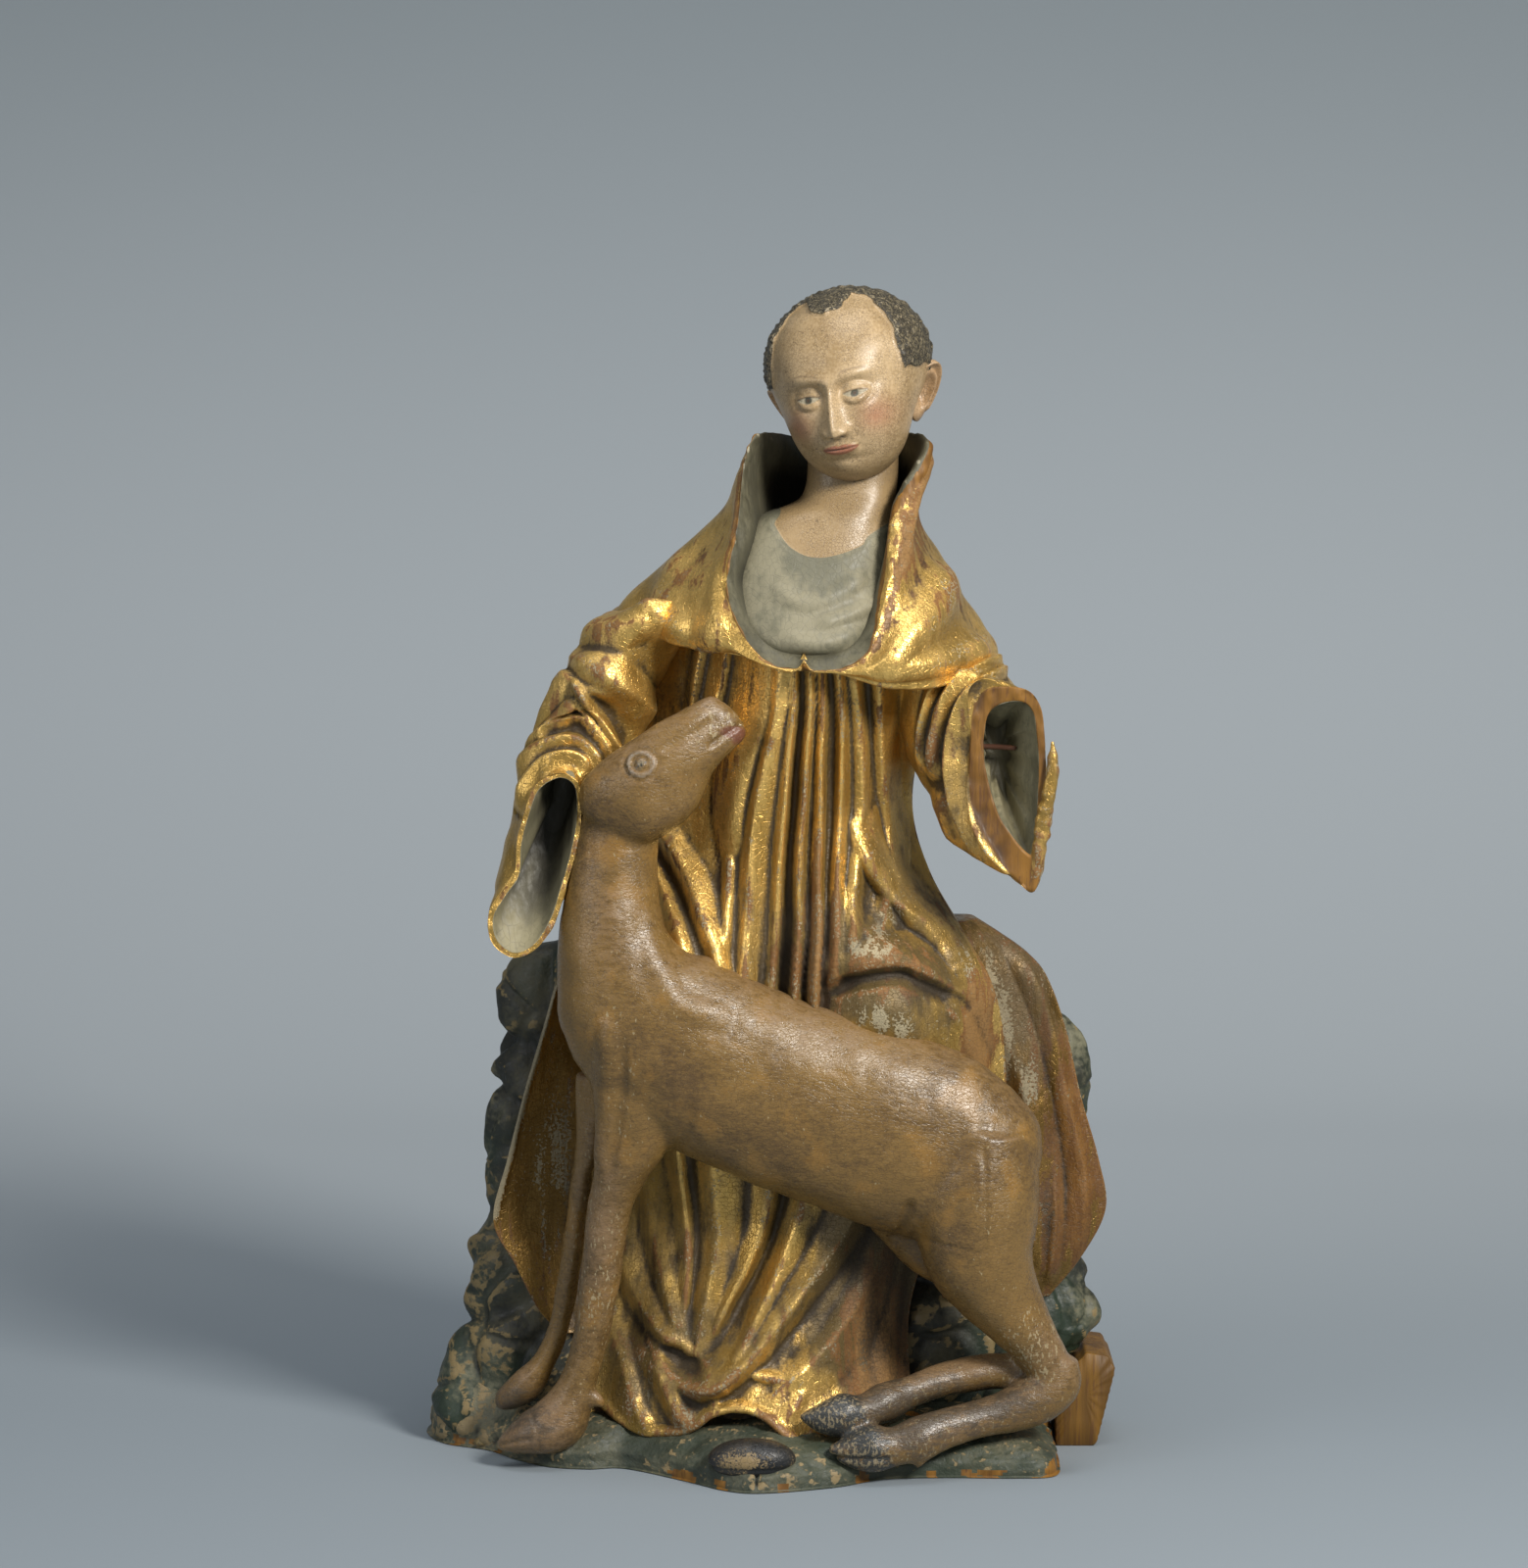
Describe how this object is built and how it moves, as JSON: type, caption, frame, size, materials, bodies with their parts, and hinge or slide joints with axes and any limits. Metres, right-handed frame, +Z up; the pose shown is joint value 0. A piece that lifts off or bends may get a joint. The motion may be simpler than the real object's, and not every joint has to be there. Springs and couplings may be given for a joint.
{
  "type": "carved wooden saint statue",
  "caption": "Gilded and painted wooden figure of a seated tonsured monk saint without hands, with a hind standing before the knees on rocky ground.",
  "frame": {"origin": "on the flat underside, on the front-to-back middle line of the ground", "axes": "+Z up, -Y out of the front of the figure, +X to the right of someone facing it"},
  "size_m": [0.5829, 0.2826, 0.9798],
  "materials": {
    "gilding": "worn gold leaf over red bole on carved wood",
    "flesh_paint": "glossy flesh paint on carved wood",
    "tunic_paint": "worn grey-white paint on carved wood",
    "hind_paint": "crackled brown glaze on carved wood",
    "rock_paint": "worn dark green paint on carved wood",
    "pin": "dark bare pin",
    "bare_wood": "bare sawn wood, waxy with age"
  },
  "bodies": {
    "root": {"saint_and_hind": "gilding", "sleeve_peg": "pin", "corner_block": "bare_wood"}
  },
  "joints": []
}
